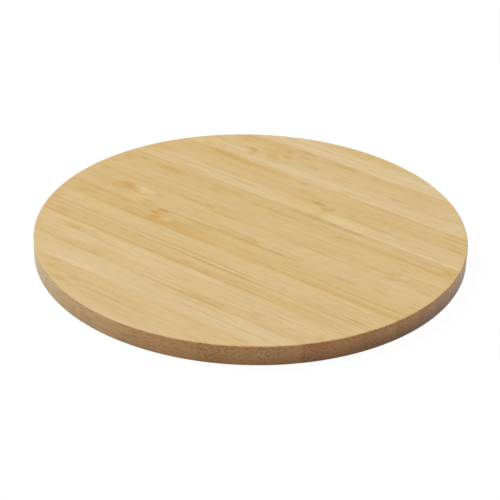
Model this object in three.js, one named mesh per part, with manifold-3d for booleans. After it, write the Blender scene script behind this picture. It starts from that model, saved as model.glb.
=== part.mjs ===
// A round drink coaster of laminated bamboo. Straight strips of culm wall stand side by side, each glued to the
// next, and the panel they make is sanded on both faces, cut round and eased along the two edges of its rim.
// Millimetres, +Z up. The origin is the middle of the underside, and the grain runs along X.

import * as THREE from "three";
import { mergeVertices, toCreasedNormals } from "three/addons/utils/BufferGeometryUtils.js";
import Module from "manifold-3d";

// Driving dimensions
const DIAMETER = 100;
const THICKNESS = 4.75;
const EDGE_RADIUS = 0.25; // easing of the rim's top and bottom edges
const STRIP_WIDTH = 6.5; // culm wall after planing, across the grain
const GLUE_FILM = 0.1; // thickness of one glue joint
const JOINT_OFFSET = 0.8; // from the middle of the disc to the panel's middle joint, towards +Y
const PANEL_TRIM = 2.75; // what the panel stands over at each side of a disc cut from its very middle

// Fineness of the facets
const RIM_FACETS = 180;
const EDGE_DIVISIONS = 2; // an eased edge gets twice as many facets
const CREASE_ANGLE = Math.PI / 6; // flatter edges than this are shaded smooth

// Colours of the bamboo, which differs from culm to culm, and of the cured glue
const BAMBOO = { pale: 0xdcc493, straw: 0xd8bc88, tan: 0xd2b27d, honey: 0xcfac73 };
const STRIP_TONES = {
  back: ["tan", "pale", "tan", "pale", "straw", "straw", "honey", "straw"],
  front: ["straw", "tan", "pale", "straw", "tan", "pale", "honey", "straw"],
};
const BAMBOO_ROUGHNESS = 0.5;
const GLUE_COLOUR = 0xb48a54;
const GLUE_ROUGHNESS = 0.4;

const radius = DIAMETER / 2;
const flatRadius = radius - EDGE_RADIUS;

// Half the panel is filled by a whole number of strips, each planed to the same width as near as fits
const halfPanel = radius + PANEL_TRIM + GLUE_FILM / 2;
const stripsPerSide = Math.round(halfPanel / (STRIP_WIDTH + GLUE_FILM));
const pitch = halfPanel / stripsPerSide;

const wasm = await Module();
wasm.setup();

// A closed three.js geometry as a solid that can be cut
function solidOf(geometry) {
  geometry.deleteAttribute("normal");
  geometry.deleteAttribute("uv");
  const merged = mergeVertices(geometry);
  const vertProperties = merged.attributes.position.array;
  const triVerts = new Uint32Array(merged.index.array);
  return new wasm.Manifold(new wasm.Mesh({ numProp: 3, vertProperties, triVerts }));
}

// A cut solid as a three.js geometry, smooth round the rim and crisp at its edges
function geometryOf(solid) {
  const { vertProperties, triVerts } = solid.getMesh();
  const geometry = new THREE.BufferGeometry();
  geometry.setAttribute("position", new THREE.BufferAttribute(vertProperties, 3));
  geometry.setIndex(new THREE.BufferAttribute(triVerts, 1));
  return toCreasedNormals(geometry, CREASE_ANGLE);
}

// The finished disc: its half section, with both edges eased, turned about Z
function finishedDisc() {
  const section = new THREE.Path();
  section.moveTo(0, 0);
  section.lineTo(flatRadius, 0);
  section.absarc(flatRadius, EDGE_RADIUS, EDGE_RADIUS, -Math.PI / 2, 0);
  section.lineTo(radius, THICKNESS - EDGE_RADIUS);
  section.absarc(flatRadius, THICKNESS - EDGE_RADIUS, EDGE_RADIUS, 0, Math.PI / 2);
  section.lineTo(0, THICKNESS);
  const turned = new THREE.LatheGeometry(section.getPoints(EDGE_DIVISIONS), RIM_FACETS);
  return solidOf(turned.rotateX(Math.PI / 2));
}

// One layer of the glued panel, from low to high across the grain, still rough: it is longer than the disc and
// stands proud of both finished faces
function roughLayer(low, high) {
  const outline = new THREE.Shape();
  outline.moveTo(-DIAMETER, low);
  outline.lineTo(DIAMETER, low);
  outline.lineTo(DIAMETER, high);
  outline.lineTo(-DIAMETER, high);
  outline.closePath();
  const layer = new THREE.ExtrudeGeometry(outline, { depth: 2 * EDGE_RADIUS + THICKNESS, bevelEnabled: false });
  return solidOf(layer.translate(0, 0, -EDGE_RADIUS));
}

const coaster = new THREE.Group();
const disc = finishedDisc();

// Cuts the layer between two places across the grain to the disc, and adds it under its name
function addLayer(name, oneSide, otherSide, color, roughness) {
  const rough = roughLayer(Math.min(oneSide, otherSide), Math.max(oneSide, otherSide));
  const material = new THREE.MeshStandardMaterial({ color, roughness, metalness: 0 });
  const mesh = new THREE.Mesh(geometryOf(rough.intersect(disc)), material);
  mesh.name = name;
  coaster.add(mesh);
}

// Half of the panel, counted from its edge inwards: each strip, and the glue that joins it to the next. Joints
// are counted from the middle one outwards, and each has an inner (-1) and an outer (1) face.
function addHalf(half, direction) {
  const faceOf = (joint, face) => JOINT_OFFSET + direction * (joint * pitch + face * (GLUE_FILM / 2));
  for (let number = 1; number <= stripsPerSide; number += 1) {
    const joint = stripsPerSide - number;
    const label = String(number).padStart(2, "0");
    const tone = STRIP_TONES[half][(number - 1) % STRIP_TONES[half].length];
    const inside = faceOf(joint, 1);
    const outside = faceOf(joint + 1, -1);
    addLayer(`${half}_strip_${label}`, inside, outside, BAMBOO[tone], BAMBOO_ROUGHNESS);
    if (joint > 0) {
      addLayer(`${half}_glue_${label}`, faceOf(joint, -1), inside, GLUE_COLOUR, GLUE_ROUGHNESS);
    }
  }
}

addHalf("back", 1);
addHalf("front", -1);
addLayer("middle_glue", JOINT_OFFSET - GLUE_FILM / 2, JOINT_OFFSET + GLUE_FILM / 2, GLUE_COLOUR, GLUE_ROUGHNESS);

export default coaster;
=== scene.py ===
# A round drink coaster of laminated bamboo. Strips of culm wall stand on edge, glued side by side into a
# panel that is sanded on both faces, cut round, eased along its rim and oiled. Metres, +Z up, grain along X.
import math

import bmesh
import bpy
import numpy as np
from mathutils import Matrix, Vector


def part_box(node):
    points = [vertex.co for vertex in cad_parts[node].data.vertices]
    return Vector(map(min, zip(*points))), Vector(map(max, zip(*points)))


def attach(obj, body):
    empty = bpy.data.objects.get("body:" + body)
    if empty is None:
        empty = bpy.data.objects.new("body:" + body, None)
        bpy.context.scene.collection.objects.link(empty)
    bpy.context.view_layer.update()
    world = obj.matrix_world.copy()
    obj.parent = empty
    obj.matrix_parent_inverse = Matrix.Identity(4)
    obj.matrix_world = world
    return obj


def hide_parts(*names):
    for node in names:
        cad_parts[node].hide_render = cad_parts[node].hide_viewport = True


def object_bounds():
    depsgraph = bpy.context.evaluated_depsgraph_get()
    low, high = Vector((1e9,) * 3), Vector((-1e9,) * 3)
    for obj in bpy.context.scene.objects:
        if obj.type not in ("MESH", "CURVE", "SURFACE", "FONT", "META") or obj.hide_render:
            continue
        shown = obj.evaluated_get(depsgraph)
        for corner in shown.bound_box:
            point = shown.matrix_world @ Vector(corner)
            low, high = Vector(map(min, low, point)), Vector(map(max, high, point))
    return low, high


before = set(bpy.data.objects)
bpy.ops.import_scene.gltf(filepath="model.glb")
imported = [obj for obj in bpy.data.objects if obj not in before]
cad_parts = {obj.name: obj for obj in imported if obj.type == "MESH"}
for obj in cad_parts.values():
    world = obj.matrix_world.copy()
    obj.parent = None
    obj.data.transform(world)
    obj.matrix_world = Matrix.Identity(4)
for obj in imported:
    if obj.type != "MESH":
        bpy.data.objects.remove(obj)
cad_low, cad_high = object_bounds()

# Bamboo strips
# Sixteen straight strips of culm wall, planed square and stood on edge, so that the face shows the wall
# from its dense skin side to its softer pith side. They were glued up as a panel, then cut round, sanded
# and oiled.
MM = 0.001
EDGE_RADIUS = 0.25 * MM  # both edges of the rim, eased with fine paper
EDGE_STEPS = 6  # of the mesh, round an eased edge
SIDE_STEPS = 8  # up the rim
ACROSS_STEPS = 58  # across a strip
ALONG_STEPS = 46  # along it
CROWDING = 0.6  # how much closer together the steps across a strip are at its joints
JOINT_DIP = 0.005 * MM  # the sanded face sinks a hair along each joint
JOINT_DIP_WIDTH = 0.14 * MM
RIDGES = ((1.9 * MM, 0.005 * MM), (1.1 * MM, 0.003 * MM), (0.7 * MM, 0.0015 * MM))  # spacing and height
RIDGE_DRIFT = 23 * MM  # length over which a ridge wanders from side to side
RIDGE_SWAY = 2  # how far it wanders, in radians of its own wave
WELD = 0.0001 * MM  # points closer together than this are one
SMOOTH_BELOW = math.radians(40)  # only folds sharper than this stay sharp

disc_radius = (cad_high[0] - cad_low[0]) / 2
disc_thickness = cad_high[2] - cad_low[2]
strip_low, strip_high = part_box("front_strip_08")
strip_width = (strip_high.y - strip_low.y) / MM  # in mm, of every strip but the two offcuts at the rim


def rim_section():
    """Half section of the disc, from the edge of the underside to the edge of the face: a quarter circle, a
    straight side and a quarter circle. Gives each level's distance from the axis and its height."""
    turn = np.linspace(0, np.pi / 2, EDGE_STEPS + 1)
    side = np.linspace(EDGE_RADIUS, disc_thickness - EDGE_RADIUS, SIDE_STEPS + 1)[1:-1]
    flat_radius = disc_radius - EDGE_RADIUS
    lower = flat_radius + EDGE_RADIUS * np.sin(turn)
    upper = flat_radius + EDGE_RADIUS * np.cos(turn)
    distance = np.concatenate([lower, np.full(side.size, disc_radius), upper])
    rise = EDGE_RADIUS * (1 - np.cos(turn))
    height = np.concatenate([rise, side, disc_thickness - rise[::-1]])
    return distance, height


def sanded_depth(x, y, joints):
    """How far the sanded face lies below its highest level: a bell-shaped dip along each joint, and cosine
    waves across the grain, whose crests wander along it by a slow sine. Sanding takes more of the soft
    ground than of the hard fibres."""
    gap = np.min(np.abs(y[..., None] - np.array(joints)), axis=-1)
    depth = JOINT_DIP * np.exp(-((gap / JOINT_DIP_WIDTH) ** 2))
    for spacing, crest in RIDGES:
        wander = RIDGE_SWAY * np.sin(x / RIDGE_DRIFT + joints[0] / spacing)
        depth = depth + crest / 2 * (1 - np.cos(2 * np.pi * y / spacing + wander))
    return depth


def layer_mesh(name, low, high, across, along):
    """The layer of the disc between two planes across the grain, as a closed mesh.

    The first parameter is the share of the way from the low plane to the high one. The second goes once
    round the layer: along the underside, up one end, back along the face and down the other end. At a level
    of the rim with radius r, the share picks an angle between asin(low / r) and asin(high / r), and the rim
    there is at x = +-r cos(angle), y = r sin(angle). The faces run straight between the two ends. The two
    planes are closed by a row of quads and two end caps, and a layer that runs out in the rim has no plane
    there."""
    distance, height = rim_section()
    first = np.arcsin(np.clip(low / distance, -1, 1))
    last = np.arcsin(np.clip(high / distance, -1, 1))
    angle = first + across[:, None] * (last - first)
    end_x = distance * np.cos(angle)
    end_y = distance * np.sin(angle)
    joints = [plane for plane in (low, high) if abs(plane) < disc_radius - EDGE_RADIUS]

    under_x = end_x[:, :1] * along
    face_x = end_x[:, -1:] * along[::-1]
    level_y = np.repeat(end_y[:, :1], along.size, axis=1)
    side_z = np.broadcast_to(height[1:-1], (across.size, height.size - 2))
    under_z = sanded_depth(under_x, level_y, joints)
    face_z = disc_thickness - sanded_depth(face_x, level_y, joints)
    x = np.hstack([under_x, end_x[:, 1:-1], face_x, -end_x[:, -2:0:-1]])
    y = np.hstack([level_y, end_y[:, 1:-1], level_y, end_y[:, -2:0:-1]])
    z = np.hstack([under_z, side_z, face_z, side_z[:, ::-1]])

    index = np.arange(x.size).reshape(x.shape)
    turned = np.roll(index, -1, axis=1)
    polygons = np.stack([index[:-1], index[1:], turned[1:], turned[:-1]], axis=-1).reshape(-1, 4).tolist()
    face_start = along.size + height.size - 2
    for plane, loop, order in ((low, index[0], 1), (high, index[-1], -1)):
        if plane not in joints:
            continue
        under = loop[:along.size]
        face = loop[face_start:face_start + along.size][::-1]
        quads = np.stack([under[:-1], under[1:], face[1:], face[:-1]], axis=-1)
        caps = [loop[along.size - 1:face_start + 1], np.append(loop[face_start + along.size - 1:], loop[0])]
        polygons += [polygon[::order].tolist() for polygon in [*quads, *caps]]

    mesh = bpy.data.meshes.new(name)
    mesh.from_pydata(np.stack([x, y, z], axis=-1).reshape(-1, 3).tolist(), [], polygons)
    shell = bmesh.new()
    shell.from_mesh(mesh)
    bmesh.ops.remove_doubles(shell, verts=shell.verts, dist=WELD)
    shell.to_mesh(mesh)
    shell.free()
    mesh.shade_smooth()
    mesh.set_sharp_from_angle(angle=SMOOTH_BELOW)
    return mesh


def linear(code):
    """An sRGB hex colour as linear red, green and blue, with an alpha of 1."""
    shares = [int(code[start:start + 2], 16) / 255 for start in (1, 3, 5)]
    return [share / 12.92 if share <= 0.04045 else ((share + 0.055) / 1.055) ** 2.4
            for share in shares] + [1]


def add(tree, kind, inputs, **settings):
    """Adds a node with its settings, gives each input a value or a link, and returns the node's outputs."""
    node = tree.nodes.new(kind)
    for name, value in settings.items():
        setattr(node, name, value)
    for name, value in inputs.items():
        if isinstance(value, bpy.types.NodeSocket):
            tree.links.new(value, node.inputs[name])
        else:
            node.inputs[name].default_value = value
    return node.outputs


AMOUNT, FIRST, SECOND, MIXED = 0, 6, 7, 2  # the Mix node's sockets for colours, whose names aren't unique


def tinted(tree, colour, amount, none, full):
    """Multiplies a colour by a tint, which goes from one tint to another as the amount goes from 0 to 1."""
    tint = add(tree, "ShaderNodeMix", {AMOUNT: amount, FIRST: (*none, 1), SECOND: (*full, 1)},
               data_type="RGBA")[MIXED]
    return add(tree, "ShaderNodeMix", {AMOUNT: 1, FIRST: colour, SECOND: tint},
               data_type="RGBA", blend_type="MULTIPLY")[MIXED]


# Oiled rim: the sawn ends of the strips drink the oil and turn brown, and their sides take less. Painted
# light
# is tinted in too: shade at the foot, near the table, paler tints and a greyer sheen towards the -X end,
# which faces the softbox, and a highlight along the eased edges. A tint multiplies the red, green and blue.
UNTINTED = (1, 1, 1)
END_TINT = (0.85, 0.59, 0.43)  # where the rim cuts across the grain
SIDE_TINT = (1, 0.775, 0.62)  # where it runs along the grain
FOOT_SHADE_TINT = (0.42, 0.38, 0.32)  # painted shade at its foot, near the table
SHEEN_TINT = (0.92, 1, 1.03)  # a painted sheen: greyer, as the white studio reflects off the rim's -X end
EDGE_HIGHLIGHT_TINT = (1.45, 1.58, 1.7)  # a painted highlight: lighter and bluer along the eased edges
PALED_FROM, PALED_TO = -25 * MM, 11 * MM  # places along the grain, between which the end and side tints grow: painted light pales them towards the -X end, which faces the softbox
LEAST_RIM_TINT = 0.25  # the share of the tints kept at the first of them, at the lit end
SHEEN_FROM, SHEEN_TO = -10 * MM, -25 * MM  # where along the grain the painted sheen begins and is full
HIGHLIGHT_FROM, HIGHLIGHT_TO = -8 * MM, 50 * MM  # the same for the painted highlight
SQUARE_CUT = 0.75  # a cut as square to the grain as this has all of the end tint
SLANT_FROM, SLANT_TO = 0.3, 0.6  # between these shares of it, the cut bundles begin to show as dots
FOOT_SHADE_HEIGHT = 4 * MM
FOOT_SHADE_POWER = 4  # how fast the painted shade at the foot fades from the ends towards the sides
SIDE_FOOT_SHADE = 0.3  # how much of that painted shade is left there
EASED_FROM, EASED_TO = 0.1, 0.5  # the slopes between which an edge begins to take the painted highlight and takes it fully
FACE_LINES, SIDE_LINES, END_DOTS = 0.1, 0.55, 1.1  # how strongly the fibre bundles show on each of these


def oiled_rim_with_painted_light(tree, place, colour, thirst):
    """Tints a colour where the rim cuts the grain: across it at a strip's ends and along it at its sides. It
    also
    paints light on the rim: paler tints and a greyer sheen towards the -X end, shade at the foot and a
    highlight along the eased edges. thirst is how much oil the end grain drank. Gives the tinted colour, and
    how strongly the fibre bundles show in it."""
    where = add(tree, "ShaderNodeSeparateXYZ", {"Vector": place["Object"]})
    normal = add(tree, "ShaderNodeSeparateXYZ", {"Vector": place["Normal"]})
    across = add(tree, "ShaderNodeMath", {0: normal["X"]}, operation="ABSOLUTE")[0]
    side = add(tree, "ShaderNodeMath", {0: normal["Y"]}, operation="ABSOLUTE")[0]
    level = add(tree, "ShaderNodeMath", {0: normal["Z"]}, operation="ABSOLUTE")[0]
    end = add(tree, "ShaderNodeMapRange", {"Value": across, "From Max": SQUARE_CUT})["Result"]
    upright = add(tree, "ShaderNodeMath", {0: end, 1: side}, operation="MAXIMUM")[0]

    # the oil on the ends and on the sides, paled by painted light towards the -X end
    unlit_share = add(tree, "ShaderNodeMapRange", {
        "Value": where["X"], "From Min": PALED_FROM, "From Max": PALED_TO, "To Min": LEAST_RIM_TINT})["Result"]
    oiled_end_paled = add(tree, "ShaderNodeMath", {0: end, 1: thirst}, operation="MULTIPLY")[0]
    oiled_end_paled = add(tree, "ShaderNodeMath", {0: oiled_end_paled, 1: unlit_share}, operation="MULTIPLY")[0]
    oiled_side_paled = add(tree, "ShaderNodeMath", {0: side, 1: unlit_share}, operation="MULTIPLY")[0]

    # painted shade at the foot, where the rim stands near the table
    foot_shade = add(tree, "ShaderNodeMath", {0: across, 1: FOOT_SHADE_POWER}, operation="POWER")[0]
    foot_shade = add(tree, "ShaderNodeMapRange", {"Value": foot_shade, "To Min": SIDE_FOOT_SHADE})["Result"]
    low = add(tree, "ShaderNodeMapRange", {
        "Value": where["Z"], "From Max": FOOT_SHADE_HEIGHT, "To Min": 1, "To Max": 0},
        interpolation_type="SMOOTHSTEP")["Result"]
    foot_shade = add(tree, "ShaderNodeMath", {0: foot_shade, 1: low}, operation="MULTIPLY")[0]
    foot_shade = add(tree, "ShaderNodeMath", {0: foot_shade, 1: upright}, operation="MULTIPLY")[0]

    # painted sheen at the -X end of the rim, and a painted highlight along the eased edges
    painted_sheen = add(tree, "ShaderNodeMapRange", {
        "Value": where["X"], "From Min": SHEEN_FROM, "From Max": SHEEN_TO})["Result"]
    painted_sheen = add(tree, "ShaderNodeMath", {0: painted_sheen, 1: upright}, operation="MULTIPLY")[0]
    eased = add(tree, "ShaderNodeMath", {0: upright, 1: level}, operation="MINIMUM")[0]
    eased = add(tree, "ShaderNodeMapRange", {
        "Value": eased, "From Min": EASED_FROM, "From Max": EASED_TO})["Result"]
    # the painted highlight grows along the grain towards +X
    highlight_along = add(tree, "ShaderNodeMapRange", {
        "Value": where["X"], "From Min": HIGHLIGHT_FROM, "From Max": HIGHLIGHT_TO})["Result"]
    edge_highlight = add(tree, "ShaderNodeMath", {0: eased, 1: highlight_along}, operation="MULTIPLY")[0]
    tints = ((oiled_end_paled, END_TINT), (oiled_side_paled, SIDE_TINT), (foot_shade, FOOT_SHADE_TINT), (painted_sheen, SHEEN_TINT),
             (edge_highlight, EDGE_HIGHLIGHT_TINT))
    for amount, tint in tints:
        colour = tinted(tree, colour, amount, UNTINTED, tint)

    # the fibre bundles, as dots at the ends, which pale with the painted light towards the -X end, and as
    # lines elsewhere
    dots = add(tree, "ShaderNodeMapRange", {
        "Value": end, "From Min": SLANT_FROM, "From Max": SLANT_TO,
        "To Max": END_DOTS * math.sqrt(thirst)})["Result"]
    dots = add(tree, "ShaderNodeMath", {0: dots, 1: unlit_share}, operation="MULTIPLY")[0]
    lines = add(tree, "ShaderNodeMapRange", {
        "Value": side, "To Min": FACE_LINES, "To Max": SIDE_LINES})["Result"]
    shown = add(tree, "ShaderNodeMath", {0: dots, 1: lines}, operation="MAXIMUM")[0]
    return colour, shown


# Sanded and oiled bamboo: hard brown fibre bundles run through a pale straw ground, packed tight at the
# skin side of the wall and thin at the pith side. Lengthwise they show as fine lines, and on the sawn ends
# as dots. Fine sanding leaves a soft satin with no clear reflection.
GROUND = {"cream": "#DFC48F", "sand": "#DCC088", "straw": "#DBBC81", "tan": "#D9B87A", "honey": "#D6B371"}
STAIN = {"brown": "#C29648", "olive": "#BFA14A", "amber": "#D0A344", "orange": "#D09C44",
         "yellow": "#DDBE70", "rose": "#E3BA8C", "pale": "#E6D19E"}
BUNDLE_COLOUR = "#5C331A"
SKIN_BUNDLES, PITH_BUNDLES = 0.45, 0.75  # mm from one fibre bundle to the next at the wall's two sides
BUNDLE_SCATTER = 0.85  # how far they stray from an even grid
BUNDLE_CORE, BUNDLE_EDGE = 0.16, 0.5  # shares of that spacing, where a bundle begins to pale and ends
PALEST_BUNDLE = 0.3  # how dark the palest bundle is beside the darkest
PITH_FADE = 0.25  # how much of their darkness the bundles keep at the pith side
BUNDLE_RELIEF, RELIEF_STRENGTH = 0.01 * MM, 0.5  # the hard bundles stand a little proud
TONES = {  # length and width in mm, noise detail, the part of the noise that counts, the tints at its ends
    "bands": (26, 2.2, 2, (0.30, 0.70), (0.983, 0.965, 0.927), (1.014, 1.029, 1.063)),
    "streaks": (11, 0.8, 3, (0.32, 0.68), (0.985, 0.975, 0.955), (1.011, 1.018, 1.036)),
    "flecks": (3.5, 0.28, 2, (0.34, 0.66), (0.945, 0.952, 0.964), (1.039, 1.032, 1.019)),
    "yellow and pink blush": (9, 2.2, 1, (0.35, 0.65), (0.998, 1.000, 0.980), (1.004, 0.994, 1.010)),
    # about 0.1 mm wide on the real strip, and drawn wider to show
    "fibre lines": (34, 0.3, 1, (0.58, 0.74), (1, 1, 1), (0.876, 0.866, 0.856)),
}
STREAK_SHARE = 0.6  # how far the streaks carry the pith side's colour towards the skin side
GROUND_FROM, GROUND_TO = 0.3, 1.3  # where the skin side's colour ends and the pith side's is reached
FACE_SHEEN_FROM, FACE_SHEEN_TO = -45, 45  # mm along the grain, over which the face is painted lighter and bluer towards +X: a painted sheen
FACE_SHEEN = (0.992, 0.976, 0.940), (1.008, 1.022, 1.056)  # its tints at those two places
WANDER_LENGTH, WANDER = 45, 0.7  # mm along and across, by which the grain wanders
WANDER_DETAIL = 2  # of the noise that moves it
RAGGED_LENGTH, RAGGED_WIDTH = 9, 0.5  # mm, the fibres that tear a stain's outline
RAGGED_DETAIL = 2  # of the noise that stands for them
RAGGED_REACH = Vector((3.2, 1.6, 0))  # the range over which they tear it, in half lengths and half widths
STAIN_CORE, STAIN_EDGE = 0.25, 1.3  # where a stain begins to fade and where it ends, in the same measure
FACE_ROUGHNESS, RIM_ROUGHNESS = 0.5, 0.42  # sanding burnishes the rim more than the faces
BAMBOO_IOR = 1.5
STRIP_SEED = 11.3  # the step from one strip's seed to the next one's
# A strip's seed times these moves its patterns, so that no two strips show the same piece of one
WANDER_SHIFT = Vector((1, 1.7, 0))
BUNDLE_SHIFT = Vector((3, 5, 0))
TONE_SHIFT = Vector((7, 1, 2))
RAGGED_SHIFT = Vector((1, 0, 1))


def sanded_bamboo(node, middle, outer, inner, skin, thirst, marks, seed):
    """One strip's own bamboo. outer and inner are its colours at the skin and pith sides, skin is +1 where
    the skin side faces the back and -1 where it faces the front, and thirst is how much oil its end grain
    drank. Each mark is a stain, the place of its middle along and across the strip, its half length and
    half width, all in millimetres, and its strength."""
    material = bpy.data.materials.new(f"sanded_bamboo_{node}")
    material.use_nodes = True
    tree = material.node_tree
    tree.nodes.clear()
    place = add(tree, "ShaderNodeTexCoord", {})
    local = add(tree, "ShaderNodeMapping", {
        "Vector": place["Object"], "Location": (0, -middle / MM, 0),
        "Scale": (1 / MM, 1 / MM, 1 / MM)})["Vector"]
    local_places = add(tree, "ShaderNodeSeparateXYZ", {"Vector": local})

    # the grain wanders a little to each side along the strip
    path = add(tree, "ShaderNodeMapping", {
        "Vector": local, "Location": seed * WANDER_SHIFT, "Scale": (1 / WANDER_LENGTH, 0, 0)})["Vector"]
    drift = add(tree, "ShaderNodeTexNoise", {"Vector": path, "Scale": 1, "Detail": WANDER_DETAIL})["Color"]
    grain = add(tree, "ShaderNodeVectorMath", {0: drift, 1: (0, WANDER, WANDER), 2: local},
                operation="MULTIPLY_ADD")["Vector"]
    grain_places = add(tree, "ShaderNodeSeparateXYZ", {"Vector": grain})

    # fibre bundles, strands that run the strip's whole length: tight at its skin side, thin at its pith side
    skin_side = skin * strip_width / 2
    pith = add(tree, "ShaderNodeMapRange", {
        "Value": local_places["Y"], "From Min": skin_side, "From Max": -skin_side})["Result"]
    section = add(tree, "ShaderNodeCombineXYZ", {"X": grain_places["Y"], "Y": grain_places["Z"]})["Vector"]
    bundles = []
    for spacing in (SKIN_BUNDLES, PITH_BUNDLES):
        cells = add(tree, "ShaderNodeMapping", {
            "Vector": section, "Location": seed * BUNDLE_SHIFT,
            "Scale": (1 / spacing, 1 / spacing, 1)})["Vector"]
        cell = add(tree, "ShaderNodeTexVoronoi", {"Vector": cells, "Scale": 1, "Randomness": BUNDLE_SCATTER},
                   voronoi_dimensions="2D")
        spot = add(tree, "ShaderNodeMapRange", {
            "Value": cell["Distance"], "From Min": BUNDLE_CORE, "From Max": BUNDLE_EDGE,
            "To Min": 1, "To Max": 0}, interpolation_type="SMOOTHSTEP")["Result"]
        dark = add(tree, "ShaderNodeSeparateColor", {"Color": cell["Color"]})["Red"]
        dark = add(tree, "ShaderNodeMapRange", {"Value": dark, "To Min": PALEST_BUNDLE})["Result"]
        bundles.append(add(tree, "ShaderNodeMath", {0: spot, 1: dark}, operation="MULTIPLY")[0])
    bundle = add(tree, "ShaderNodeMapRange", {
        "Value": pith, "To Min": bundles[0], "To Max": bundles[1]})["Result"]

    # tone along the grain: broad bands, streaks, short flecks and thin dark lines
    levels = {}
    for name, (length, width, detail, (low, high), _, _) in TONES.items():
        stretched = add(tree, "ShaderNodeMapping", {
            "Vector": grain, "Location": seed * TONE_SHIFT,
            "Scale": (1 / length, 1 / width, 1 / width)})["Vector"]
        tone = add(tree, "ShaderNodeTexNoise", {"Vector": stretched, "Scale": 1, "Detail": detail})["Fac"]
        levels[name] = add(tree, "ShaderNodeMapRange", {"Value": tone, "From Min": low, "From Max": high},
                           interpolation_type="SMOOTHSTEP")["Result"]
    share = add(tree, "ShaderNodeMath", {0: levels["streaks"], 1: STREAK_SHARE, 2: pith},
                operation="MULTIPLY_ADD")[0]
    share = add(tree, "ShaderNodeMapRange", {
        "Value": share, "From Min": GROUND_FROM, "From Max": GROUND_TO})["Result"]
    colour = add(tree, "ShaderNodeMix", {
        AMOUNT: share, FIRST: linear(GROUND[outer]), SECOND: linear(GROUND[inner])},
        data_type="RGBA")[MIXED]
    for name, (_, _, _, _, dark, light) in TONES.items():
        colour = tinted(tree, colour, levels[name], dark, light)
    # painted sheen: the whole strip lighter and bluer towards +X
    face_sheen = add(tree, "ShaderNodeMapRange", {
        "Value": local_places["X"], "From Min": FACE_SHEEN_FROM, "From Max": FACE_SHEEN_TO})["Result"]
    colour = tinted(tree, colour, face_sheen, *FACE_SHEEN)

    # stains of the culm's nodes and of the glue line, with outlines torn along the fibres
    torn = add(tree, "ShaderNodeMapping", {
        "Vector": grain, "Location": seed * RAGGED_SHIFT,
        "Scale": (1 / RAGGED_LENGTH, 1 / RAGGED_WIDTH, 1 / RAGGED_WIDTH)})["Vector"]
    ragged = add(tree, "ShaderNodeTexNoise", {"Vector": torn, "Scale": 1, "Detail": RAGGED_DETAIL})["Color"]
    ragged = add(tree, "ShaderNodeVectorMath", {0: ragged, 1: RAGGED_REACH, 2: -RAGGED_REACH / 2},
                 operation="MULTIPLY_ADD")["Vector"]
    for stain, x, y, half_length, half_width, strength in marks:
        spot = add(tree, "ShaderNodeMapping", {
            "Vector": local, "Location": (-x / half_length, -y / half_width, 0),
            "Scale": (1 / half_length, 1 / half_width, 0)})["Vector"]
        spot = add(tree, "ShaderNodeVectorMath", {0: spot, 1: ragged}, operation="ADD")["Vector"]
        reach = add(tree, "ShaderNodeVectorMath", {0: spot}, operation="LENGTH")["Value"]
        cover = add(tree, "ShaderNodeMapRange", {
            "Value": reach, "From Min": STAIN_CORE, "From Max": STAIN_EDGE, "To Min": strength, "To Max": 0},
            interpolation_type="SMOOTHSTEP")["Result"]
        colour = add(tree, "ShaderNodeMix", {AMOUNT: cover, FIRST: colour, SECOND: linear(STAIN[stain])},
                     data_type="RGBA")[MIXED]

    # the oiled rim with its painted light, and the fibre bundles on it and on the faces
    colour, shown = oiled_rim_with_painted_light(tree, place, colour, thirst)
    depth = add(tree, "ShaderNodeMath", {0: bundle, 1: shown}, operation="MULTIPLY")[0]
    fade = add(tree, "ShaderNodeMapRange", {"Value": pith, "To Min": 1, "To Max": PITH_FADE})["Result"]
    depth = add(tree, "ShaderNodeMath", {0: depth, 1: fade}, operation="MULTIPLY")[0]
    colour = add(tree, "ShaderNodeMix", {AMOUNT: depth, FIRST: colour, SECOND: linear(BUNDLE_COLOUR)},
                 data_type="RGBA")[MIXED]

    level = add(tree, "ShaderNodeSeparateXYZ", {"Vector": place["Normal"]})["Z"]
    level = add(tree, "ShaderNodeMath", {0: level}, operation="ABSOLUTE")[0]
    roughness = add(tree, "ShaderNodeMapRange", {
        "Value": level, "To Min": RIM_ROUGHNESS, "To Max": FACE_ROUGHNESS})["Result"]
    bump = add(tree, "ShaderNodeBump", {
        "Height": bundle, "Strength": RELIEF_STRENGTH, "Distance": BUNDLE_RELIEF})["Normal"]
    surface = add(tree, "ShaderNodeBsdfPrincipled", {
        "Base Color": colour, "Roughness": roughness, "Normal": bump, "IOR": BAMBOO_IOR})["BSDF"]
    add(tree, "ShaderNodeOutputMaterial", {"Surface": surface})
    return material


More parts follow.
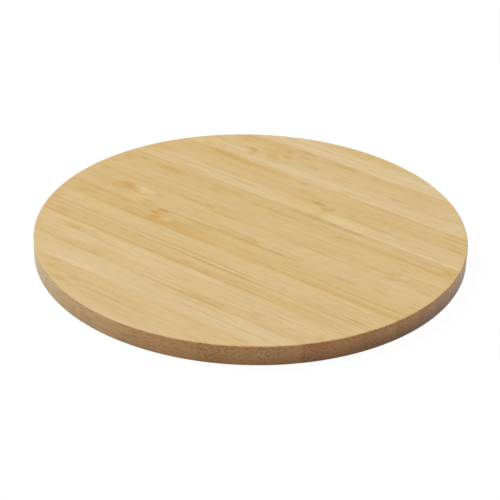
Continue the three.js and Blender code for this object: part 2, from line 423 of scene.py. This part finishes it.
# Each strip, counted from the rim inwards: its colours at the skin and pith sides, the way its skin side
# faces, how much oil its ends drank, and its marks. Marks at one place along a strip are those of a node,
# the culm's own joint.
BACK, FRONT = 1, -1
STRIPS = {
    "back_strip_01": ("tan", "straw", FRONT, 0.8, [
        ("amber", -3.5, -1.2, 2.5, 0.7, 0.5), ("amber", 1, -0.8, 2, 0.6, 0.4)]),
    "back_strip_02": ("cream", "cream", BACK, 0.8, [
        ("amber", 2, 2.4, 20, 1.2, 0.2)]),
    "back_strip_03": ("tan", "straw", BACK, 0.8, [
        ("amber", -19, 0, 5.5, 3.4, 0.4), ("olive", -16.5, 0.7, 1.6, 0.6, 0.6),
        ("brown", -12.6, 0.1, 1.1, 0.8, 0.4), ("olive", -10.6, 0.1, 1.2, 0.7, 0.5),
        ("brown", -13.2, 3, 2.6, 0.9, 0.6), ("brown", -1, 2.4, 4, 0.9, 0.5), ("olive", 8, 2, 8, 0.9, 0.15),
        ("brown", -15, -2.6, 1.5, 0.8, 0.5), ("brown", -7, -2.8, 1.7, 0.8, 0.4),
        ("amber", -29.5, -0.3, 3.6, 1.8, 0.5), ("orange", 21, 1.4, 8, 1, 0.2)]),
    "back_strip_04": ("straw", "cream", BACK, 0.8, [
        ("amber", -26.4, 2.8, 1.5, 0.8, 0.4), ("brown", -24.6, 2.8, 1.3, 0.8, 0.9),
        ("amber", -23.8, 1.2, 1.2, 1.7, 0.6), ("amber", -18.6, 2.3, 2.4, 1.4, 0.6),
        ("pale", -9, -0.4, 6, 2.2, 0.35), ("yellow", -35, 0, 3.5, 1.8, 0.7),
        ("amber", -28, -3, 9, 0.8, 0.5), ("orange", -35.5, -2, 2.4, 0.9, 0.3),
        ("amber", 3, 2.4, 5, 0.9, 0.25), ("amber", 12, 2.8, 3, 0.7, 0.3),
        ("brown", 18.5, 2.4, 2, 0.5, 0.35), ("amber", 22.5, 1.2, 2.6, 0.8, 0.3),
        ("orange", 7.5, -1.9, 2, 1, 0.3), ("amber", 6.5, -3, 4, 0.6, 0.4),
        ("pale", 36.5, -0.7, 3, 1.5, 0.3)]),
    "back_strip_05": ("tan", "tan", BACK, 0.8, [
        ("brown", -28, 2.7, 5, 0.9, 0.6), ("amber", -28, 2.1, 8, 1.4, 0.6),
        ("amber", -17, 2.1, 9, 1.3, 0.5), ("olive", -3.8, 1.8, 2.6, 0.8, 0.35),
        ("orange", -0.8, -1.6, 2, 1.8, 0.35), ("amber", 4, -2.5, 4, 0.9, 0.3),
        ("brown", 20, 2.8, 11, 0.4, 0.25), ("pale", 17, 1.6, 6, 1, 0.25), ("brown", 22, -1.9, 8, 0.4, 0.25),
        ("amber", 40, 2.4, 3, 0.7, 0.6), ("brown", 40, 1, 4, 0.3, 0.45), ("brown", 41, -1.1, 4, 0.45, 0.5),
        ("brown", 41, -2.8, 4.5, 0.45, 0.5)]),
    "back_strip_06": ("tan", "cream", BACK, 0.75, [
        ("orange", -0.5, 2.3, 4, 1, 0.25), ("brown", 4.8, 2.7, 2.3, 0.8, 0.95),
        ("orange", 9.3, 2.2, 1.1, 0.9, 0.55), ("amber", 8, 1.1, 1.9, 0.9, 0.9),
        ("brown", 7.6, 1, 1, 0.5, 0.5), ("olive", 8, -0.7, 1, 1, 0.4), ("olive", 8, -2.5, 1.9, 1.2, 0.45),
        ("olive", 15.2, 2.5, 2, 0.5, 0.65), ("brown", 17.5, 1.1, 7, 0.35, 0.5),
        ("yellow", 7, -0.8, 14, 2.8, 0.35), ("olive", 24, 1, 5, 0.6, 0.25), ("pale", 36, 2, 11, 1.3, 0.22),
        ("orange", -44, 2, 2.8, 1.2, 0.3), ("yellow", -44.5, -2.2, 2.8, 1.1, 0.8),
        ("pale", 13.5, -1.3, 3.8, 1.5, 0.42)]),
    "back_strip_07": ("tan", "tan", BACK, 0.8, [
        ("olive", 8, 2.5, 8, 0.9, 0.5), ("brown", 8.8, 2.7, 1.9, 0.6, 0.4),
        ("olive", 14.2, 2.5, 1.2, 0.7, 0.6), ("brown", 19.3, 2.5, 4.6, 0.6, 0.6),
        ("olive", -2, -0.6, 11, 0.8, 0.45), ("olive", 18.8, -1.5, 1.5, 0.8, 0.45),
        ("orange", 21.2, -1.3, 1.3, 0.6, 0.5), ("brown", 34, -0.8, 14, 0.6, 0.35),
        ("brown", 44, -0.8, 4, 0.8, 0.4), ("pale", 23, 1, 9, 0.9, 0.3), ("brown", 40.5, 1.2, 4, 0.3, 0.4),
        ("amber", 46, 1.2, 2.6, 1.3, 0.65), ("orange", 46, 0.6, 2, 0.8, 0.4),
        ("amber", -46.4, -0.8, 2.2, 1.6, 0.6), ("olive", -42, 0.7, 1.3, 0.7, 0.5),
        ("amber", -34, 0.2, 5, 1.4, 0.5), ("brown", -32.5, 0, 4.5, 1, 0.3),
        ("brown", -20, 0.3, 8, 0.9, 0.2), ("olive", -18, -1, 2.6, 1.6, 0.3),
        ("orange", -13, 0.2, 3, 1.3, 0.3)]),
    "back_strip_08": ("tan", "straw", FRONT, 1, [
        ("brown", -35, 0, 5, 0.4, 0.4), ("orange", -47.6, 1.9, 1.4, 0.9, 0.5),
        ("brown", -20, -2.1, 5, 0.4, 0.3), ("olive", -13.7, -2, 1.7, 0.8, 0.45),
        ("pale", 31, -0.3, 0.9, 0.5, 0.4), ("brown", 32.6, -1.1, 1.7, 0.35, 0.45),
        ("olive", 36.5, -1, 1.1, 0.6, 0.5), ("pale", 39.8, -0.3, 1.1, 0.7, 0.5),
        ("brown", 37.3, -2.7, 1.7, 0.45, 0.55), ("orange", 38, 2.2, 1.3, 0.8, 0.4)]),
    "front_strip_08": ("straw", "straw", FRONT, 0.97, [
        ("amber", -38, -0.4, 12, 3.2, 0.2), ("brown", -43, 0.8, 5, 2.2, 0.16),
        ("orange", -36.4, 0.2, 3, 2.2, 0.45), ("brown", -36, 1, 2.1, 1, 0.6),
        ("brown", -35, -0.2, 1.9, 0.8, 0.55), ("amber", -38.6, -1, 2.6, 1.6, 0.35),
        ("pale", -31.2, 0.6, 1.5, 1.4, 0.55), ("pale", -29, 1.1, 1.6, 1, 0.45),
        ("olive", -26.9, 1, 1.1, 1.1, 0.45), ("brown", -29.5, -1.2, 3, 0.4, 0.35),
        ("yellow", -29.5, -2.3, 3.4, 1.2, 0.7), ("olive", -26.6, -2.7, 1.6, 0.8, 0.4),
        ("orange", 2.4, -2.3, 2, 1, 0.55), ("amber", 4.4, -2.3, 1.5, 0.9, 0.65),
        ("amber", -4, -1.8, 5, 1.2, 0.3), ("brown", 11.5, -3, 3, 0.5, 0.4),
        ("amber", 12, -3, 1.8, 0.6, 0.5), ("brown", 31, -2.9, 6, 0.45, 0.2),
        ("brown", 39.5, -2.3, 2.9, 0.4, 0.6), ("amber", 16.5, -2.4, 3, 0.9, 0.3)]),
    "front_strip_07": ("honey", "tan", FRONT, 0.75, [
        ("olive", -9, 1.6, 4, 1.6, 0.3), ("olive", -26, 1.8, 2, 1.3, 0.4), ("amber", -22, 0.6, 12, 3, 0.15),
        ("olive", -42, -1.5, 2.8, 1.6, 0.4), ("amber", -20.6, -1.9, 2.6, 1.6, 0.9),
        ("brown", -19.6, -2.6, 1.9, 0.5, 0.5), ("brown", -20.6, 2.6, 2.3, 0.6, 0.9),
        ("brown", -21.8, 1.9, 0.9, 0.7, 0.8), ("brown", -21.5, 0.5, 1.5, 0.7, 0.95),
        ("amber", -20.4, 0.1, 1.3, 0.8, 0.5), ("brown", -20.5, -0.9, 1.9, 0.5, 0.7),
        ("rose", -17.6, -0.1, 1.8, 1.4, 0.5), ("amber", -17.2, -2.3, 1.8, 0.9, 0.9),
        ("olive", -15.3, -0.4, 1.4, 1, 0.6), ("olive", -13, 0.4, 2.8, 0.6, 0.4),
        ("orange", -14.4, -1.4, 1.9, 1.1, 0.65), ("orange", -11.5, -1.5, 3.8, 1.6, 0.5),
        ("amber", -6, -2, 6, 1, 0.5), ("orange", -27.2, -2, 1.9, 1.2, 0.4),
        ("brown", -30.8, 0.9, 3, 0.6, 0.45), ("brown", -23.6, -3.1, 5, 0.4, 0.5),
        ("brown", -12.5, 3, 4, 0.4, 0.5), ("brown", -39, 1.2, 7, 0.45, 0.5),
        ("brown", 21, -2.4, 17, 0.35, 0.35), ("brown", 38, -2.4, 10, 0.35, 0.4),
        ("brown", 36, -0.4, 14, 0.25, 0.35), ("pale", 39, -1.2, 9, 0.5, 0.3),
        ("pale", 32, 2, 12, 1.2, 0.15)]),
    "front_strip_06": ("straw", "straw", FRONT, 0.8, [
        ("brown", -8, -1.9, 36, 0.35, 0.5), ("pale", 0, -2.6, 44, 0.3, 0.3),
        ("amber", 32, -2.4, 1.2, 0.8, 0.5), ("pale", -32, 1.2, 9, 1.4, 0.2),
        ("olive", 42, -2.4, 3, 0.4, 0.5), ("amber", -45, -1, 1.6, 2, 0.3), ("pale", -43, 1.7, 3, 1.2, 0.3),
        ("amber", -19, 3, 2.5, 0.8, 0.3)]),
    "front_strip_05": ("tan", "straw", BACK, 0.8, [
        ("brown", -4, -0.5, 44, 0.5, 0.5), ("brown", 10, 0.5, 34, 0.25, 0.3),
        ("brown", 33, 1.2, 13, 0.4, 0.35), ("amber", -17.3, -0.3, 1.5, 0.5, 0.6),
        ("orange", -0.8, 0.7, 1.5, 1, 0.45), ("amber", 4.6, -0.3, 1.3, 0.8, 0.45),
        ("orange", -39.5, 1, 2.5, 1.2, 0.35), ("pale", -3, -2.2, 36, 0.9, 0.35),
        ("pale", -38, -2.2, 8, 1.1, 0.35), ("amber", -33, -2.8, 5.5, 0.8, 0.35)]),
    "front_strip_04": ("straw", "sand", FRONT, 0.85, [
        ("amber", -33, 2.8, 5.5, 0.9, 0.4), ("brown", -24, 2.6, 9, 0.35, 0.35),
        ("pale", -28, 1, 8, 1.6, 0.25), ("olive", -19, -0.1, 6, 0.5, 0.3),
        ("amber", -20, -2.9, 1.9, 0.7, 0.35), ("brown", -31, -2.9, 8, 0.5, 0.3),
        ("brown", 9, -1.8, 11, 0.3, 0.45), ("amber", 11, -2.7, 4.5, 0.7, 0.45),
        ("amber", 16, -2.2, 1.2, 0.6, 0.5), ("brown", 24.5, 0.1, 2, 0.5, 0.4),
        ("brown", 40, 0.2, 4, 1.6, 0.25), ("amber", 39.4, 0.8, 1.2, 0.6, 0.5)]),
    "front_strip_03": ("cream", "sand", FRONT, 0.62, [
        ("pale", -17, -2.3, 11, 0.9, 0.4), ("brown", 19, -0.2, 15, 0.3, 0.35),
        ("brown", 10, 2, 16, 0.35, 0.2)]),
    "front_strip_02": ("straw", "straw", FRONT, 0.62, [
        ("brown", -25.5, 2.6, 2.5, 0.5, 0.4), ("amber", -23, 0.4, 2.5, 1, 0.35),
        ("orange", -15.6, -0.8, 2.3, 0.7, 0.55), ("olive", -18.5, -2.4, 3.5, 0.7, 0.5),
        ("brown", -3, -1.9, 10, 0.4, 0.5), ("pale", 0, -2.8, 14, 0.8, 0.3)]),
    "front_strip_01": ("sand", "sand", FRONT, 0.62, [
        ("brown", 2, 0.4, 9, 0.3, 0.2)]),
}
# Where the glue soaked into the bamboo along each joint: from and to, in millimetres along the grain, and
# how strongly it stained it
GLUE_SOAK = {
    "back_glue_01": [],
    "back_glue_02": [(-28, 6, 0.25)],
    "back_glue_03": [],
    "back_glue_04": [(-40, -15, 0.3), (4, 34, 0.25)],
    "back_glue_05": [(36, 46, 0.25)],
    "back_glue_06": [(-8, 12, 0.2)],
    "back_glue_07": [],
    "middle_glue": [(-14, -3, 0.4), (9, 26, 0.35), (45, 50, 0.3)],
    "front_glue_07": [(-18, 18, 0.5), (25, 36, 0.35), (46, 50, 0.4)],
    "front_glue_06": [(-34, -5, 0.3)],
    "front_glue_05": [(-46, -14, 0.2), (-14, 26, 0.55), (26, 46, 0.2)],
    "front_glue_04": [(-38, -28, 0.3)],
    "front_glue_03": [(-38, -5, 0.2), (-5, 20, 0.55), (20, 38, 0.2)],
    "front_glue_02": [(-27, -8, 0.15)],
    "front_glue_01": [(-15, 10, 0.1)],
}
SOAK_DEPTH = 0.45  # mm into the strip


def soaked_margins(low, high):
    """The marks that the glue left along the strip between two planes across the grain."""
    marks = []
    for joint, stretches in GLUE_SOAK.items():
        joint_low, joint_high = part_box(joint)
        for margin, face in ((low, joint_high.y), (high, joint_low.y)):
            if abs(margin - face) < WELD:
                place = (margin - (low + high) / 2) / MM
                marks += [("brown", (start + stop) / 2, place, (stop - start) / 2, SOAK_DEPTH, strength)
                          for start, stop, strength in stretches]
    return marks


step = np.linspace(0, 1, ACROSS_STEPS + 1)
strip_across = step - CROWDING * np.sin(2 * np.pi * step) / (2 * np.pi)
strip_along = np.sin(np.linspace(-np.pi / 2, np.pi / 2, ALONG_STEPS + 1))  # closer together at the rim
for number, (node, (outer, inner, skin, thirst, marks)) in enumerate(STRIPS.items()):
    low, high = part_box(node)
    mesh = layer_mesh(node, low.y, high.y, strip_across, strip_along)
    strip = bpy.data.objects.new(f"{node}_bamboo", mesh)
    bpy.context.scene.collection.objects.link(strip)
    middle = (low.y + high.y) / 2
    stains = marks + soaked_margins(low.y, high.y)
    bamboo = sanded_bamboo(node, middle, outer, inner, skin, thirst, stains, STRIP_SEED * number)
    strip.data.materials.append(bamboo)
    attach(strip, "root")
    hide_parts(node)

# Glue films
# The cured film of adhesive in each joint, squeezed out thin between two strips and cut and sanded with
# them. It is seen only on edge, as a hair line that darkens where the film stayed thick and is lost where
# it was squeezed out.
FILM_ACROSS_STEPS = 2
FILM_SEED = 5.1  # the step from one film's seed to the next one's
FILM_THIRST = 0.8  # how much oil the ends of the film took up with the bamboo beside them
GLUE = {"thick": "#BC9250", "thin": "#DABC80"}
THIN_FILM = 0.15  # how dark the film is where it was squeezed out
THICK_FILM = 1.4  # how dark it is where it stayed thick, times the strength of its stain in the bamboo
FILM_TAPER = 3  # mm to each side of an end of such a stretch, over which the film thins
BREAK_LENGTH = 6  # mm along the joint, the pieces into which the line is broken up
BREAK_DETAIL = 3  # of the noise that breaks it
BREAK_FROM, BREAK_TO = 0.25, 0.5  # the levels of that noise between which it comes and goes
GLUE_ROUGHNESS = 0.4
GLUE_IOR = 1.5


def cured_glue(node, stretches, seed):
    """Cured adhesive, an amber resin sanded flush: dark where the film is thick, nearly as pale as bamboo
    elsewhere, with the change broken up along the joint. A stretch is where the film is thick: from and to,
    in millimetres along the grain, and how strongly the glue stained the bamboo beside it."""
    material = bpy.data.materials.new(f"cured_glue_{node}")
    material.use_nodes = True
    tree = material.node_tree
    tree.nodes.clear()
    place = add(tree, "ShaderNodeTexCoord", {})
    along = add(tree, "ShaderNodeMapping", {
        "Vector": place["Object"], "Location": (seed, 0, 0),
        "Scale": (1 / (BREAK_LENGTH * MM), 0, 0)})["Vector"]
    broken = add(tree, "ShaderNodeTexNoise", {"Vector": along, "Scale": 1, "Detail": BREAK_DETAIL})["Fac"]
    x = add(tree, "ShaderNodeSeparateXYZ", {"Vector": place["Object"]})["X"]
    thick = THIN_FILM
    for start, stop, strength in stretches:
        away = add(tree, "ShaderNodeMath", {0: x, 1: (start + stop) / 2 * MM}, operation="SUBTRACT")[0]
        away = add(tree, "ShaderNodeMath", {0: away}, operation="ABSOLUTE")[0]
        half = (stop - start) / 2
        inside = add(tree, "ShaderNodeMapRange", {
            "Value": away, "From Min": (half - FILM_TAPER) * MM, "From Max": (half + FILM_TAPER) * MM,
            "To Min": THICK_FILM * strength, "To Max": THIN_FILM}, interpolation_type="SMOOTHSTEP")["Result"]
        thick = add(tree, "ShaderNodeMath", {0: thick, 1: inside}, operation="MAXIMUM")[0]
    level = add(tree, "ShaderNodeMapRange", {
        "Value": broken, "From Min": BREAK_FROM, "From Max": BREAK_TO})["Result"]
    level = add(tree, "ShaderNodeMath", {0: level, 1: thick}, operation="MULTIPLY")[0]
    colour = add(tree, "ShaderNodeMix", {
        AMOUNT: level, FIRST: linear(GLUE["thin"]), SECOND: linear(GLUE["thick"])},
        data_type="RGBA")[MIXED]
    # the oiled rim's tints, with their painted shade, sheen and highlight, as on the bamboo
    colour, _ = oiled_rim_with_painted_light(tree, place, colour, FILM_THIRST)
    surface = add(tree, "ShaderNodeBsdfPrincipled", {
        "Base Color": colour, "Roughness": GLUE_ROUGHNESS, "IOR": GLUE_IOR})["BSDF"]
    add(tree, "ShaderNodeOutputMaterial", {"Surface": surface})
    return material


film_across = np.linspace(0, 1, FILM_ACROSS_STEPS + 1)
for number, (node, stretches) in enumerate(GLUE_SOAK.items()):
    low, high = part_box(node)
    mesh = layer_mesh(node, low.y, high.y, film_across, strip_along)
    film = bpy.data.objects.new(f"{node}_film", mesh)
    bpy.context.scene.collection.objects.link(film)
    film.data.materials.append(cured_glue(node, stretches, FILM_SEED * number))
    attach(film, "root")
    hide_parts(node)

# Table
# A plain studio table painted white, which the camera sees as white, with the soft shadow that the coaster
# leaves on it.
TABLE_SIZE = 3.0
TABLE_DROP = 0.02 * MM  # keeps its top from lying in one plane with the underside
TABLE_BOUNCE = 0.6  # the share of the light that it throws back at the coaster
SHADOW_SHARE = 0.04  # the share of its white that the lamps make, in which the shadow shows
LAMP_LEVEL = 0.8  # how bright the lamps alone would show a white table
half_size = TABLE_SIZE / 2
corners = [(half_size * x, half_size * y, -TABLE_DROP) for x, y in ((-1, -1), (1, -1), (1, 1), (-1, 1))]
table_mesh = bpy.data.meshes.new("table")
table_mesh.from_pydata(corners, [], [(0, 1, 2, 3)])
table = bpy.data.objects.new("table", table_mesh)
bpy.context.scene.collection.objects.link(table)
white_table = bpy.data.materials.new("white_painted_table")
white_table.use_nodes = True
tree = white_table.node_tree
tree.nodes.clear()
ray = add(tree, "ShaderNodeLightPath", {})
bounce = add(tree, "ShaderNodeBsdfDiffuse", {"Color": [TABLE_BOUNCE] * 3 + [1]})["BSDF"]
shaded = add(tree, "ShaderNodeBsdfDiffuse", {"Color": [SHADOW_SHARE] * 3 + [1]})["BSDF"]
glow = add(tree, "ShaderNodeEmission", {"Strength": 1 - LAMP_LEVEL * SHADOW_SHARE})["Emission"]
seen = add(tree, "ShaderNodeAddShader", {0: shaded, 1: glow})["Shader"]
direct = add(tree, "ShaderNodeMath", {0: ray["Is Camera Ray"], 1: ray["Is Glossy Ray"]},
             operation="MAXIMUM")[0]
surface = add(tree, "ShaderNodeMixShader", {0: direct, 1: bounce, 2: seen})["Shader"]
add(tree, "ShaderNodeOutputMaterial", {"Surface": surface})
table.data.materials.append(white_table)

# Light
# A large softbox high up on the camera's left, a little beyond the coaster, in a studio that is white all
# round.
CAMERA_AZIMUTH = math.radians(37)  # how far round from the front the camera stands
ROOM_LIGHT = 0.35  # how brightly the studio lights the coaster, though it is seen as white
SOFTBOX_SIZE = 2.6
SOFTBOX_POWER = 210  # watts
SOFTBOX_PLACE = Vector((-2.9, 1.4, 4.0))  # right of, beyond and above the coaster, as the camera sees it

softbox_light = bpy.data.lights.new("softbox", "AREA")
softbox_light.size = SOFTBOX_SIZE
softbox_light.energy = SOFTBOX_POWER
softbox = bpy.data.objects.new("softbox", softbox_light)
softbox.location = Matrix.Rotation(CAMERA_AZIMUTH, 3, "Z") @ SOFTBOX_PLACE
softbox.rotation_euler = (-softbox.location).to_track_quat("-Z", "Y").to_euler()
bpy.context.scene.collection.objects.link(softbox)

studio = bpy.data.worlds.new("white_studio")
studio.use_nodes = True
bpy.context.scene.world = studio
tree = studio.node_tree
tree.nodes.clear()
ray = add(tree, "ShaderNodeLightPath", {})
direct = add(tree, "ShaderNodeMath", {0: ray["Is Camera Ray"], 1: ray["Is Glossy Ray"]},
             operation="MAXIMUM")[0]
strength = add(tree, "ShaderNodeMapRange", {"Value": direct, "To Min": ROOM_LIGHT})["Result"]
room = add(tree, "ShaderNodeBackground", {"Color": (1, 1, 1, 1), "Strength": strength})["Background"]
add(tree, "ShaderNodeOutputWorld", {"Surface": room})

# Camera
# A long lens at the photograph's height and side. The middle of the disc lies a little above the middle of
# the image, and the camera is rolled slightly, so that the coaster's right side is lower.
IMAGE_SIZE = 500  # pixels
SENSOR = 36.0  # mm
LENS = 114.49  # mm
CAMERA_ELEVATION = math.radians(29.32)
CAMERA_DISTANCE = 369.5 * MM
CAMERA_ROLL = math.radians(1.44)
DISC_MIDDLE_PIXEL = (250.7, 236.7)  # from the image's upper left corner

camera_data = bpy.data.cameras.new("camera")
camera_data.sensor_width = SENSOR
camera_data.lens = LENS
camera = bpy.data.objects.new("camera", camera_data)
bpy.context.scene.collection.objects.link(camera)
bpy.context.scene.camera = camera
back = Vector((math.sin(CAMERA_AZIMUTH) * math.cos(CAMERA_ELEVATION),
               -math.cos(CAMERA_AZIMUTH) * math.cos(CAMERA_ELEVATION),
               math.sin(CAMERA_ELEVATION)))
focal_pixels = LENS / SENSOR * IMAGE_SIZE
yaw = math.atan((DISC_MIDDLE_PIXEL[0] - IMAGE_SIZE / 2) / focal_pixels)
pitch = math.atan((DISC_MIDDLE_PIXEL[1] - IMAGE_SIZE / 2) / focal_pixels)
aim = back.to_track_quat("Z", "Y").to_matrix() @ Matrix.Rotation(CAMERA_ROLL, 3, "Z")
aim = aim @ Matrix.Rotation(pitch, 3, "X") @ Matrix.Rotation(yaw, 3, "Y")
place = Vector((0, 0, disc_thickness / 2)) + CAMERA_DISTANCE * back
camera.matrix_world = Matrix.Translation(place) @ aim.to_4x4()
bpy.context.scene.view_settings.view_transform = "Standard"
